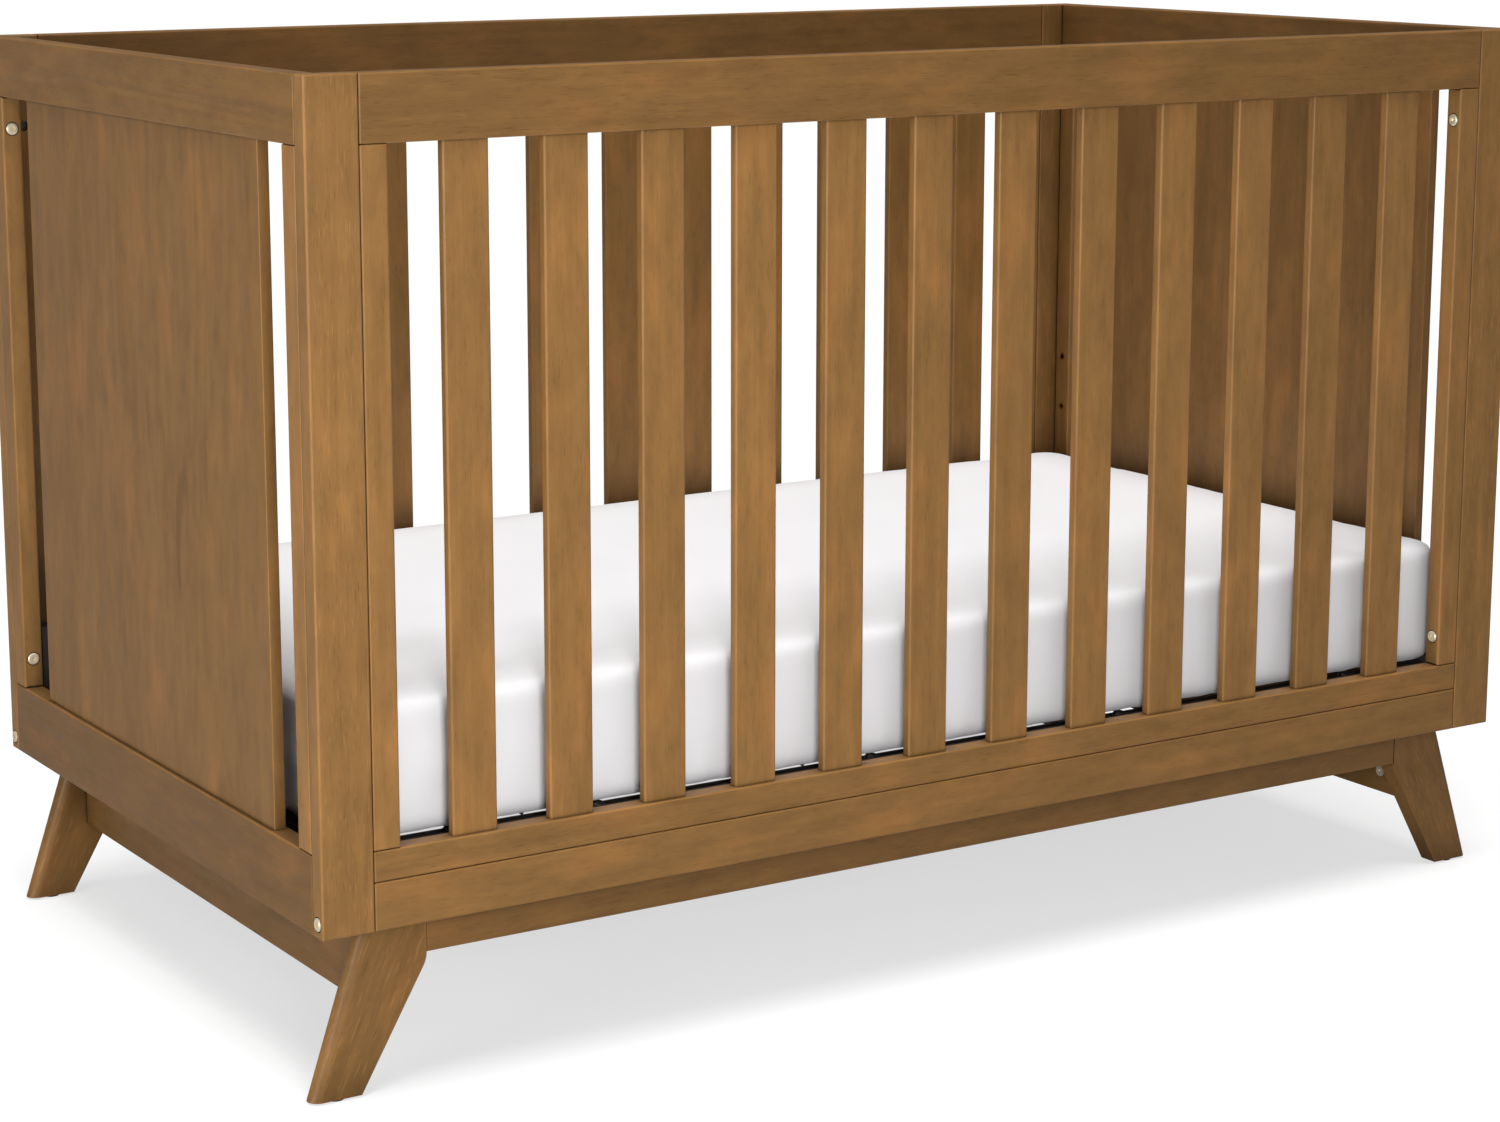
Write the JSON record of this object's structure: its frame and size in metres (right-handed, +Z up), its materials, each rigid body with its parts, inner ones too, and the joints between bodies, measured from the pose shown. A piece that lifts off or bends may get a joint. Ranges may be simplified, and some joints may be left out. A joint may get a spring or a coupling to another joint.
{
  "type": "baby crib",
  "caption": "Full-size wooden baby crib with slatted sides, solid end panels, splayed legs, a height-adjustable wire mattress support and a mattress.",
  "frame": {"origin": "on the floor, under the middle of the crib", "axes": "+X along the length towards the right end, +Y from the front slats towards the back, +Z up"},
  "size_m": [1.376, 0.748, 0.892],
  "materials": {
    "walnut_post": "satin walnut stain, upright grain",
    "walnut_rail": "satin walnut stain, lengthwise grain",
    "walnut_slat": "satin walnut stain, upright grain",
    "walnut_panel": "satin walnut stain on veneer",
    "zinc": "zinc plate",
    "nickel": "satin champagne nickel",
    "brass": "plain brass",
    "black_steel": "black powder coat",
    "nylon": "matte",
    "cotton_sheet": "white woven cotton fitted sheet"
  },
  "bodies": {
    "crib_frame": {"front_left_post": "walnut_post", "front_right_post": "walnut_post", "rear_left_post": "walnut_post", "rear_right_post": "walnut_post", "left_end_top_rail": "walnut_rail", "left_end_bottom_rail": "walnut_rail", "left_end_front_stile": "walnut_rail", "left_end_rear_stile": "walnut_rail", "left_end_panel": "walnut_panel", "right_end_top_rail": "walnut_rail", "right_end_bottom_rail": "walnut_rail", "right_end_front_stile": "walnut_rail", "right_end_rear_stile": "walnut_rail", "right_end_panel": "walnut_panel", "front_top_rail": "walnut_rail", "front_bottom_rail": "walnut_rail", "front_left_stile": "walnut_rail", "front_right_stile": "walnut_rail", "front_slat_01": "walnut_slat", "front_slat_02": "walnut_slat", "front_slat_03": "walnut_slat", "front_slat_04": "walnut_slat", "front_slat_05": "walnut_slat", "front_slat_06": "walnut_slat", "front_slat_07": "walnut_slat", "front_slat_08": "walnut_slat", "front_slat_09": "walnut_slat", "front_slat_10": "walnut_slat", "front_slat_11": "walnut_slat", "front_slat_12": "walnut_slat", "back_top_rail": "walnut_rail", "back_bottom_rail": "walnut_rail", "back_left_stile": "walnut_rail", "back_right_stile": "walnut_rail", "back_slats": "walnut_slat", "front_stretcher": "walnut_rail", "back_stretcher": "walnut_rail", "front_left_leg": "walnut_post", "front_right_leg": "walnut_post", "rear_left_leg": "walnut_post", "rear_right_leg": "walnut_post", "front_apron": "walnut_rail", "back_apron": "walnut_rail", "left_apron": "walnut_rail", "right_apron": "walnut_rail", "frame_bolts": "nickel", "end_panel_bolts": "nickel", "stretcher_bolts": "nickel", "leg_bolts": "nickel", "support_bolts": "nickel", "barrel_nuts": "zinc", "threaded_inserts": "brass", "cam_locks": "nickel", "foot_glides": "nylon"},
    "mattress_support": {"support_side_angles": "black_steel", "support_end_angles": "black_steel", "support_mesh": "black_steel", "support_springs": "zinc", "support_brackets": "black_steel"},
    "mattress": {"mattress": "cotton_sheet"}
  },
  "joints": [
    {"name": "mattress_support_height", "type": "slide", "parent": "crib_frame", "child": "mattress_support", "axis": [0, 0, 1], "range_m": [0, 0.186]},
    {"name": "mattress_lift", "type": "slide", "parent": "mattress_support", "child": "mattress", "axis": [0, 0, 1], "range_m": [0, 0.7]}
  ]
}
